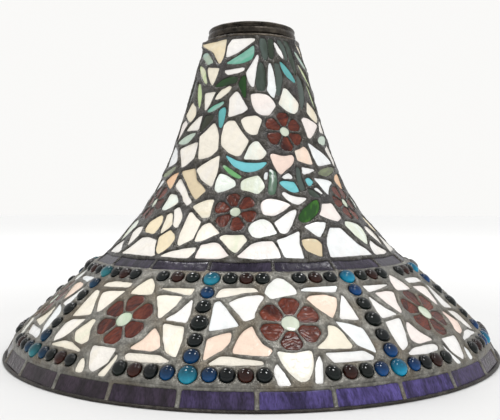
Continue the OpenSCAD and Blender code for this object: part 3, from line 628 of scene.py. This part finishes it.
def jewels_of(name):
    found = []
    for points, tri in solids(name):
        own = points[np.unique(tri)]
        middle = own.mean(0)
        theta = math.atan2(middle[0], -middle[1])
        # It sits at the point of the face that is nearest its middle, found to 0.1 mm
        z = np.linspace(10, 95, 851)
        foot = embed(np.full(len(z), theta), z)
        z0 = z[np.argmin(np.linalg.norm(foot - middle, axis=1))]
        jewel = Piece(embed(theta, z0), embed(theta, z0, lift=1.0) - embed(theta, z0), name)
        jewel.size = float(np.linalg.norm(jewel.flat(own), axis=1).max())
        found.append(jewel)
    return sorted(found, key=lambda p: (round(p.z), p.theta))


def pane_group(names, wobble, cut_at, grow):
    """Panes with rounded corners, a little larger than in CAD, so that the solder hides less of them."""
    made = []
    for name in names:
        for pane in panes_of(name):
            loop = resampled(rounded(pane.corners, cut_at), OUTLINE_STEP, wobble)
            pane.outline = loop + edge_normals(loop) * grow
            pane.rim = pane.lifted(pane.outline)
            made.append(pane)
    return made


panels, sectors = range(1, PANELS + 1), range(1, SECTORS + 1)
groups = {
    "skirt_background_glass": pane_group([f"skirt_background_glass_{i}" for i in panels], 0.3, 0.8, 0.5),
    "skirt_petals": pane_group([f"skirt_petals_{i}" for i in panels], 0.3, 1.2, 0.5),
    "skirt_ruby": pane_group([f"skirt_ruby_{i}" for i in panels], 0.2, 1.3, 0.95),
    "neck_background_glass": pane_group([f"neck_background_glass_{i}" for i in sectors], 0.25, 0.6, 0.6),
    "neck_petals": pane_group([f"neck_petals_{i}" for i in sectors], 0.25, 0.9, 0.6),
    "border_glass": pane_group(["border_glass"], 0.12, 0.5, 0.25),
    "waist_glass": pane_group(["waist_glass"], 0.2, 0.5, 0.4),
    "neck_ruby": pane_group(["neck_ruby"], 0.2, 1.6, 0.35),
    "neck_dark_leaves": pane_group(["neck_dark_leaves"], 0.2, 0.5, 0.75),
    "neck_turquoise_leaves": pane_group(["neck_turquoise_leaves"], 0.2, 0.7, 0.5),
    "neck_green_leaves": pane_group(["neck_green_leaves"], 0.2, 0.7, 0.5),
    "flower_centres": pane_group(["flower_centres"], 0.15, 2.0, 0.3),
}
jewels = {name: jewels_of(name) for name in ("black_jewels", "brown_jewels", "blue_jewels", "teal_jewels")}
for group in jewels.values():
    for jewel in group:
        turn = np.arange(JEWEL_SIDES) * 2 * math.pi / JEWEL_SIDES
        long, short = 1 + rng.uniform(-0.07, 0.03), 1 + rng.uniform(-0.05, 0.04)
        tilt = rng.uniform(0, math.pi)
        a = turn - tilt
        circle = np.stack([np.cos(a) * long, np.sin(a) * short], -1) * jewel.size
        c, s = math.cos(tilt), math.sin(tilt)
        jewel.outline = circle @ np.array([[c, s], [-s, c]])
        jewel.rim = jewel.lifted(jewel.outline, -0.2)


def tint_rows(pane):
    name = pane.node
    if name.startswith("skirt_"):
        i = panel_of(pane.theta)
        kind = PANEL_KINDS[i]
        return PANEL_TINTS[kind], degrees_from(pane.theta, PANEL_ONE + i * PANEL_STEP)
    table = {
        "neck_petals": NECK_PETALS, "neck_background": NECK_BACK, "neck_dark": NECK_DARK,
        "neck_turquoise": NECK_TURQUOISE, "neck_green": NECK_GREEN,
    }
    return next(rows for start, rows in table.items() if name.startswith(start)), sector_angle(pane.theta)


def own_tints(pane):
    """Main tint, second tint, the second's share and the streaks' angle, in degrees."""
    name = pane.node
    if "ruby" in name:
        k = rng.uniform(0, 1)
        return mixed(srgb(84, 30, 20), srgb(56, 20, 14), k), srgb(126, 58, 38), 0.34, rng.uniform(0, 180)
    if name == "border_glass":
        front = math.exp(-(((math.degrees(pane.theta) - 21) / 26) ** 2))
        back = math.exp(-(((math.degrees(pane.theta) + 165) / 40) ** 2))
        k = min(1.0, front + 0.7 * back + 0.05 * rng.uniform(0, 1))
        main = mixed(srgb(32, 24, 27), srgb(34, 24, 60), k)
        return main, mixed(srgb(58, 45, 50), srgb(94, 82, 150), k), 0.42, 90
    if name == "waist_glass":
        return mixed(srgb(32, 27, 42), srgb(42, 35, 54), rng.uniform(0, 1)), srgb(70, 62, 82), 0.25, 90
    if name == "flower_centres":
        main = mixed(srgb(168, 196, 160), srgb(206, 208, 190), rng.uniform(0, 1))
        return main, srgb(214, 222, 204), 0.4, rng.uniform(0, 180)
    table, angle = tint_rows(pane)
    return tint_of(table, angle, pane.z)


def mixed(a, b, k):
    return tuple((1 - k) * np.array(a) + k * np.array(b))


def ripple(points, way, seed, wavelength, depth):
    """Flowing ridges across a pane, as rolled into ruby glass."""
    out = []
    for x, y in points:
        a = x * way[0] + y * way[1]
        b = -x * way[1] + y * way[0]
        warp = 1.7 * noise.noise(Vector((a * 0.16, b * 0.16, seed)))
        ridge = math.sin((b / wavelength + warp) * 2 * math.pi)
        swell = noise.noise(Vector((a * 0.3, b * 0.3, seed + 9)))
        out.append(depth * (0.75 * ridge + 0.9 * swell))
    return np.array(out)


def add_pane(build, pane, step, relief):
    """A slab with rounded corners: a slightly uneven face, a softened arris and a flat back."""
    main, second, share, streaks = own_tints(pane)
    under = pane.outline + edge_normals(pane.outline) * TUCK
    lo, hi = pane.outline.min(0), pane.outline.max(0)
    spots = hexes(lo, hi, step)
    spots = spots[inside(spots, pane.outline)]
    spots = spots[to_loop(spots, pane.outline) > 0.45 * step] if len(spots) else spots
    flat, tri = triangulated(spots, [under])
    tri = tri[inside(flat[tri].mean(1), under)]
    a = flat[tri]
    turn = np.cross(a[:, 1] - a[:, 0], a[:, 2] - a[:, 0]) < 0
    tri[turn] = tri[turn][:, ::-1]
    inner = np.clip(to_loop(flat, under) / ARRIS, 0, 1)
    seed = rng.uniform(-40, 40)
    angle = math.radians(streaks + rng.uniform(-12, 12))
    way = (math.cos(angle), math.sin(angle))
    h = relief(flat, way, seed) * inner - ARRIS_DROP * (1 - inner) ** 2
    top = pane.lifted(flat, h)
    bottom = pane.lifted(flat, -GLASS_THICKNESS)
    bottom[:, 2] = np.maximum(bottom[:, 2], LOWEST_GLASS)
    grain = np.stack([flat @ way, flat @ (-way[1], way[0]), np.full(len(flat), seed)], -1)
    build.add(
        np.vstack([top, bottom]), closed_by_walls(tri, len(flat)),
        tint=rgba(main), streak=rgba(second), share=(share, 0, 0), grain=np.vstack([grain, grain]),
    )


def even(depth, size):
    return lambda flat, way, seed: np.array([
        depth * noise.noise(Vector((x / size, y / size, seed))) for x, y in flat
    ])


def rippled(wavelength, depth):
    return lambda flat, way, seed: ripple(flat, way, seed, wavelength, depth)


def make_panes(group, name, nodes_of, material, step, relief):
    build = Build()
    for pane in groups[group]:
        if pane.node in nodes_of:
            add_pane(build, pane, step, relief)
    build.make(name, material, nodes_of, sharp=35)


def add_jewel(build, jewel, dark, bright):
    """A cabochon: a low, rounded dome on a short skirt, on its own oval, with a painted glow of light through
    it on its lower side and edge.
    """
    rise = JEWEL_RISE * jewel.size * rng.uniform(0.92, 1.08) + 0.2
    rings = [(0.98, -JEWEL_DEPTH), (1.0, -0.4), (1.0, JEWEL_SKIRT)]
    for k in range(1, 10):
        a = k / 10 * math.pi / 2
        rings.append((math.cos(a) ** 0.92, JEWEL_SKIRT + rise * math.sin(a) ** 0.9))
    n = len(jewel.outline)
    points, glow = [], []
    for share, h in rings:
        flat = jewel.outline * share
        points.append(jewel.lifted(flat, h))
        # Painted light: the lower side and edge of each jewel are tinted towards its bright tint, as light
        # shining through the glass.
        low = np.clip(0.5 - 0.5 * flat[:, 1] / jewel.size, 0, 1)
        glow.append(np.clip(0.08 + 0.92 * low ** 2.0 * (0.35 + 0.65 * share), 0, 1))
    top = len(rings) * n
    points = np.vstack([*points, jewel.lifted(np.zeros((1, 2)), JEWEL_SKIRT + rise)])
    glow = np.concatenate([*glow, [0.4]])
    faces = [tuple(range(n - 1, -1, -1))]
    for k in range(len(rings) - 1):
        here, above = k * n, (k + 1) * n
        faces += [(here + i, here + (i + 1) % n, above + (i + 1) % n, above + i) for i in range(n)]
    faces += [(top - n + i, top - n + (i + 1) % n, top) for i in range(n)]
    colours = (1 - glow)[:, None] * np.array(dark) + glow[:, None] * np.array(bright)
    build.add(points, faces, tint=np.hstack([colours, np.ones((len(colours), 1))]))


# Each jewel's dark body tint and the bright tint of its painted glow, at the two ends of a range
JEWEL_TINTS = {
    "black_jewels": [(srgb(2, 6, 5), srgb(12, 26, 20)), (srgb(2, 4, 5), srgb(10, 20, 24))],
    "brown_jewels": [(srgb(20, 6, 4), srgb(72, 30, 16)), (srgb(16, 5, 4), srgb(58, 22, 12))],
    "blue_jewels": [(srgb(3, 10, 20), srgb(24, 76, 108)), (srgb(2, 14, 34), srgb(12, 88, 160))],
    "teal_jewels": [(srgb(4, 34, 42), srgb(60, 156, 164)), (srgb(3, 50, 76), srgb(10, 176, 224))],
}


def jewel_tints(jewel):
    """Blues run from a dull teal on the left of the front to a bright blue on its right."""
    low, high = JEWEL_TINTS[jewel.node]
    k = rng.uniform(0, 1)
    if jewel.node in ("blue_jewels", "teal_jewels"):
        k = 0.5 + 0.5 * math.sin(jewel.theta * 1.5 + 0.25)
    return tuple(mixed(a, b, k) for a, b in zip(low, high))


for i in panels:
    make_panes("skirt_background_glass", f"skirt_background_panes_{i}", [f"skirt_background_glass_{i}"],
               OPAL, 3.0, even(0.16, 9))
    make_panes("skirt_petals", f"skirt_petal_panes_{i}", [f"skirt_petals_{i}"],
               OPAL, 3.0, even(0.14, 10))
    make_panes("skirt_ruby", f"skirt_ruby_panes_{i}", [f"skirt_ruby_{i}"],
               RUBY, 0.8, rippled(3.2, 0.13))
for i in sectors:
    make_panes("neck_background_glass", f"neck_background_panes_{i}", [f"neck_background_glass_{i}"],
               OPAL, 3.0, even(0.16, 9))
    make_panes("neck_petals", f"neck_petal_panes_{i}", [f"neck_petals_{i}"],
               OPAL, 3.0, even(0.14, 10))
make_panes("border_glass", "border_panes", ["border_glass"], VIOLET, 1.6, rippled(7.0, 0.12))
make_panes("waist_glass", "waist_panes", ["waist_glass"], VIOLET, 1.6, rippled(7.0, 0.1))
make_panes("neck_ruby", "neck_ruby_panes", ["neck_ruby"], RUBY, 0.8, rippled(2.8, 0.13))
make_panes("neck_dark_leaves", "neck_dark_panes", ["neck_dark_leaves"],
           BRIGHT, 2.5, even(0.12, 8))
make_panes("neck_turquoise_leaves", "neck_turquoise_panes", ["neck_turquoise_leaves"],
           BRIGHT, 2.5, even(0.12, 9))
make_panes("neck_green_leaves", "neck_green_panes", ["neck_green_leaves"],
           BRIGHT, 2.5, even(0.14, 8))
make_panes("flower_centres", "flower_centre_panes", ["flower_centres"],
           BRIGHT, 1.5, even(0.2, 6))
for name, group in jewels.items():
    build = Build()
    for jewel in group:
        add_jewel(build, jewel, *jewel_tints(jewel))
    build.make(name.replace("jewels", "cabochons"), JEWEL, [name], sharp=60)


# ---------------------------------------------------------------- leadwork

openings = [piece for group in (*groups.values(), *jewels.values()) for piece in group]
rim_tree = kdtree.KDTree(sum(len(o.rim) for o in openings))
seam_offset, seam_point, seam_next, seam_before = [], [], [], []
count = 0
for o in openings:
    theta, z = polar(o.rim)
    o.polar = np.stack([np.unwrap(theta), z], -1)
    spread = embed(theta, z)
    seam_offset.append(np.hypot(o.rim[:, 0], o.rim[:, 1]) - radius(z))
    seam_point.append(spread)
    seam_next.append(np.roll(spread, -1, 0))
    seam_before.append(np.roll(spread, 1, 0))
    for p in spread:
        rim_tree.insert(p, count)
        count += 1
rim_tree.balance()
seam_offset, seam_point = np.concatenate(seam_offset), np.vstack(seam_point)
seam_next, seam_before = np.vstack(seam_next), np.vstack(seam_before)
NEIGHBOURS = 26
EDGE_ROWS = (0.35, 0.9)


def from_segment(p, a, b):
    d = b - a
    t = np.clip(((p - a) * d).sum(1) / np.maximum((d * d).sum(1), 1e-12), 0, 1)
    return np.linalg.norm(p - a - t[:, None] * d, axis=1)


def seam_field(theta, z):
    """At points of the outside face: distance from the nearest glass, and how far glass nearby stands out."""
    p = embed(theta, z)
    found = [rim_tree.find_n(q, NEIGHBOURS) for q in p]
    index = np.array([[f[1] for f in row] for row in found])
    away = np.array([[f[2] for f in row] for row in found])
    weight = 1 / (away**2 + 0.5) ** 2
    offset = (weight * seam_offset[index]).sum(1) / weight.sum(1)
    nearest = index[:, 0]
    near = np.minimum(from_segment(p, seam_point[nearest], seam_next[nearest]),
                      from_segment(p, seam_point[nearest], seam_before[nearest]))
    return near, offset


def moved_out(loop, away, wide):
    """A loop of (angle times `wide`, slant) points, moved outwards by a true distance."""
    stretch = np.array([radius(height(loop[:, 1].mean())) / wide, 1.0])
    true = loop * stretch
    return (true + edge_normals(true) * away) / stretch


def make_lead(name, material, theta0, theta1, z0, z1, step, bead, crown, lumps):
    """Closed shell of solder between two angles and two heights, open where glass and jewels sit."""
    a0, a1 = math.radians(theta0), math.radians(theta1)
    s0, s1 = slant(z0), slant(z1)
    wide = radius((z0 + z1) / 2)
    t0, t1 = a0 * wide, a1 * wide

    loops = []
    for o in openings:
        middle = o.polar[:, 0].mean()
        for turn in (-1, 0, 1):
            t = o.polar[:, 0] + turn * 2 * math.pi
            if t.max() < a0 or t.min() > a1 or o.polar[:, 1].max() < z0 or o.polar[:, 1].min() > z1:
                continue
            loops.append(np.stack([t * wide, slant(o.polar[:, 1])], -1))
    rows = []
    for k, s in enumerate(np.arange(s0 + step * 0.6, s1 - step * 0.3, step * 0.87)):
        pitch = step / radius(height(s))
        t = np.arange(a0 + pitch * (0.35 + 0.5 * (k % 2)), a1 - pitch * 0.3, pitch)
        rows.append(np.stack([t * wide, np.full(len(t), s)], -1))
    grid = np.vstack(rows)
    grid += rng.uniform(-0.12, 0.12, grid.shape) * step
    # Two rows of points that follow each opening give its edge a clean rise
    rows_by = []
    for away in EDGE_ROWS:
        row = np.vstack([moved_out(o, away, wide) for o in loops])
        low, high = (t0 + 0.3, s0 + 0.2), (t1 - 0.3, s1 - 0.2)
        rows_by.append((away, row[((row > low) & (row < high)).all(1)]))
    rows_by.append((EDGE_ROWS[-1] + 0.5 * step, grid))
    kept = []
    for away, spots in rows_by:
        hit = np.zeros(len(spots), bool)
        for loop in loops:
            hit |= inside(spots, loop)
        spots = spots[~hit]
        near, _ = seam_field(spots[:, 0] / wide, height(spots[:, 1]))
        kept.append(spots[near > 0.86 * away])
    grid = np.vstack(kept)

    across = max(4, int((a1 - a0) * wide / step))
    up = max(4, int((s1 - s0) / step))
    t, s = np.linspace(a0, a1, across + 1) * wide, np.linspace(s0, s1, up + 1)
    frame_loop = np.vstack([
        np.stack([t[:-1], np.full(across, s0)], -1), np.stack([np.full(up, t[-1]), s[:-1]], -1),
        np.stack([t[:0:-1], np.full(across, s1)], -1), np.stack([np.full(up, t[0]), s[:0:-1]], -1),
    ])
    flat, tri = triangulated(grid, [frame_loop, *loops])
    middle = flat[tri].mean(1)
    keep = inside(middle, frame_loop)
    for loop in loops:
        keep &= ~inside(middle, loop)
    a = flat[tri]
    area = np.cross(a[:, 1] - a[:, 0], a[:, 2] - a[:, 0])
    keep &= np.abs(area) > 1e-5
    tri[area < 0] = tri[area < 0][:, ::-1]
    tri = tri[keep]
    used, tri = np.unique(tri, return_inverse=True)
    tri, flat = tri.reshape(-1, 3), flat[used]

    theta, z = flat[:, 0] / wide, height(flat[:, 1])
    near, offset = seam_field(theta, z)
    base = embed(theta, z, offset)
    swell = np.sqrt(1 - (1 - np.clip(near / bead, 0, 1)) ** 2)
    lump = np.array([
        noise.noise(Vector(q) * 0.105) * 0.55 + noise.noise(Vector(q) * 0.29) * 0.45
        + noise.noise(Vector(q) * 0.8) * 0.16
        for q in base
    ]) * lumps * np.clip(near / 1.2, 0, 1)
    lift = -SEAM_DIP + (crown + SEAM_DIP) * swell + lump
    top = embed(theta, z, offset, lift)
    bottom = embed(theta, z, offset, -SEAM_DEPTH - SEAM_BELLY * swell - 0.6 * np.abs(lump))
    build = Build()
    # How high the solder stands; the solder material turns this into rubbed wear with painted highlight and
    # painted shade.
    raised = np.clip(0.15 + 0.6 * swell + 0.9 * lump, 0, 1)
    shade = np.stack([raised] * 3 + [np.ones(len(raised))], -1)
    values = {"raise": np.vstack([shade, shade])}
    build.add(np.vstack([top, bottom]), closed_by_walls(tri, len(flat)), **values)
    build.make(name, material, [name.replace("_seams", "_leadwork")], sharp=70)


LEAD_STEP = 1.3
make_lead("border_seams", LEAD, -180, 180, RIM_H, BORDER_TOP, LEAD_STEP, 1.9, 0.9, 0.35)
for i in panels:
    middle = PANEL_ONE + (i - 1) * PANEL_STEP
    make_lead(f"skirt_seams_{i}", LEAD, middle + PANEL_SEAM - PANEL_STEP, middle + PANEL_SEAM,
              BORDER_TOP, SKIRT_TOP, LEAD_STEP, 2.5, 1.25, 0.6)
for i in sectors:
    start = SECTOR_SEAM + (i - 1) * SECTOR_STEP
    make_lead(f"neck_seams_{i}", NECK_LEAD, start, start + SECTOR_STEP,
              SKIRT_TOP, RING_BASE, LEAD_STEP, 2.2, 1.1, 0.5)


# ---------------------------------------------------------------- rim, ring and spider


def turned(name, parts, segments, wobble, grain, material, node):
    """Rings turned from closed outlines, whose outermost parts are tinted lighter and innermost parts darker:
    rubbed wear with painted highlight and painted shade.
    """
    build = Build()
    for profile in parts:
        points, faces = lathe(profile, segments, wobble, grain)
        edge = np.array(profile)
        out = np.tile((edge[:, 0] - edge[:, 0].min()) / np.ptp(edge[:, 0]), segments)
        shade = np.stack([out] * 3 + [np.ones(len(out))], -1)
        build.add(points, faces, **{"raise": shade})
    build.make(name, material, [node], sharp=50)


def oval(r, z, wide, tall, sides):
    """A closed round section, clockwise so that its faces look outwards."""
    a = -np.arange(sides) * 2 * math.pi / sides
    return [(r + wide * math.cos(t), z + tall * math.sin(t)) for t in a]


turned("rim_came", [oval(226.8, 1.15, 1.7, 1.15, 18)], 540, 0.2, 0.12, RIM_LEAD, "bottom_rim")
turned("ring_turned", [[
    (38.0, 288.4), (45.6, 288.2), (46.3, 288.9), (46.3, 290.0), (45.4, 290.8), (43.2, 291.3), (41.4, 291.7),
    (41.2, 292.2), (41.9, 293.0), (42.4, 294.2), (42.5, 295.6), (42.3, 297.0), (41.7, 298.2), (40.9, 298.9),
    (40.5, 299.3), (40.6, 299.9), (41.2, 300.3), (41.7, 301.0), (41.7, 301.8), (41.2, 302.6), (40.4, 303.0),
    (39.2, 303.0), (38.5, 302.6), (38.1, 301.8),
][::-1]], 240, 0.12, 0.09, BRONZE, "top_ring")
nodes["spider"].data.materials.clear()
nodes["spider"].data.materials.append(BRASS)


# ---------------------------------------------------------------- floor, light and camera

FLOOR_RADIUS, FLOOR_CORNERS = 9.0, 96
BRIGHTER_FROM, BRIGHTER_TO = 350.0, 1500.0
LIGHTS_AIM = (0, 0, 0.1)


def stage_material(name, colour, rough):
    """A plain floor that is a little brighter far away, so that no horizon shows."""
    m, t = new_material(name)
    p = object_mm(t)
    away = wire(t, "ShaderNodeVectorMath", {0: p}, operation="LENGTH").outputs["Value"]
    far = wire(t, "ShaderNodeMapRange", {0: away, 1: BRIGHTER_FROM, 2: BRIGHTER_TO}).outputs[0]
    shade = ramp(t, far, (0.0, colour), (1.0, tuple(1.26 * x for x in colour)))
    lifted = wire(t, "ShaderNodeMath", {0: far, 1: 0.24}, operation="MULTIPLY").outputs[0]
    finish_material(t, {
        "Base Color": shade, "Roughness": rough,
        "Emission Color": (1, 1, 0.99, 1), "Emission Strength": lifted,
    })
    return m


floor_mesh = bpy.data.meshes.new("floor")
spokes = [k * 2 * math.pi / FLOOR_CORNERS for k in range(FLOOR_CORNERS)]
corners = [(FLOOR_RADIUS * math.cos(a), FLOOR_RADIUS * math.sin(a), 0) for a in spokes]
floor_mesh.from_pydata(corners, [], [tuple(range(FLOOR_CORNERS))])
floor = bpy.data.objects.new("floor", floor_mesh)
bpy.context.scene.collection.objects.link(floor)
floor.data.materials.append(stage_material("pale_floor", (0.74, 0.74, 0.735), 0.6))

world = bpy.data.worlds.new("studio")
bpy.context.scene.world = world
world.use_nodes = True
sky = world.node_tree
sky.nodes.clear()
towards = sky.nodes.new("ShaderNodeTexCoord").outputs["Generated"]
up = wire(sky, "ShaderNodeSeparateXYZ", {0: towards}).outputs[2]
glow = ramp(sky, up, (0.0, 0.7), (0.45, 0.95), (0.72, 0.95), (0.88, 0.8), (1.0, 0.45))
seen = wire(sky, "ShaderNodeBackground", {0: (0.985, 0.98, 0.965, 1), 1: 0.97})
room = wire(sky, "ShaderNodeBackground", {0: glow, 1: 0.87})
direct = wire(sky, "ShaderNodeLightPath").outputs["Is Camera Ray"]
both = wire(sky, "ShaderNodeMixShader", {0: direct, 1: room.outputs[0], 2: seen.outputs[0]})
wire(sky, "ShaderNodeOutputWorld", {0: both.outputs[0]})


def softbox(name, place, size, power, colour=(1, 1, 1)):
    light = bpy.data.lights.new(name, "AREA")
    light.shape, light.size, light.size_y = "RECTANGLE", *size
    light.energy, light.color = power, colour
    lamp = bpy.data.objects.new(name, light)
    lamp.location = place
    lamp.rotation_euler = (Vector(LIGHTS_AIM) - Vector(place)).to_track_quat("-Z", "Y").to_euler()
    bpy.context.scene.collection.objects.link(lamp)


softbox("window", (0.55, -0.75, 1.9), (0.3, 0.36), 11)
softbox("lamp", (-0.75, -0.45, 1.8), (0.18, 0.18), 4, (1, 0.97, 0.93))
softbox("back_window", (-0.55, 0.8, 1.9), (0.3, 0.3), 9)
softbox("back_lamp", (0.8, 0.5, 1.8), (0.18, 0.18), 4)

lens = bpy.data.cameras.new("camera")
lens.sensor_width, lens.lens = 36, 48.96
lens.clip_start, lens.clip_end = 0.01, 20
camera = bpy.data.objects.new("camera", lens)
camera.location = (-0.0014, -0.6636, 0.1337)
camera.rotation_euler = (math.radians(90 - 0.34), math.radians(-0.09), 0)
bpy.context.scene.collection.objects.link(camera)
bpy.context.scene.camera = camera
bpy.context.scene.view_settings.view_transform = "Standard"
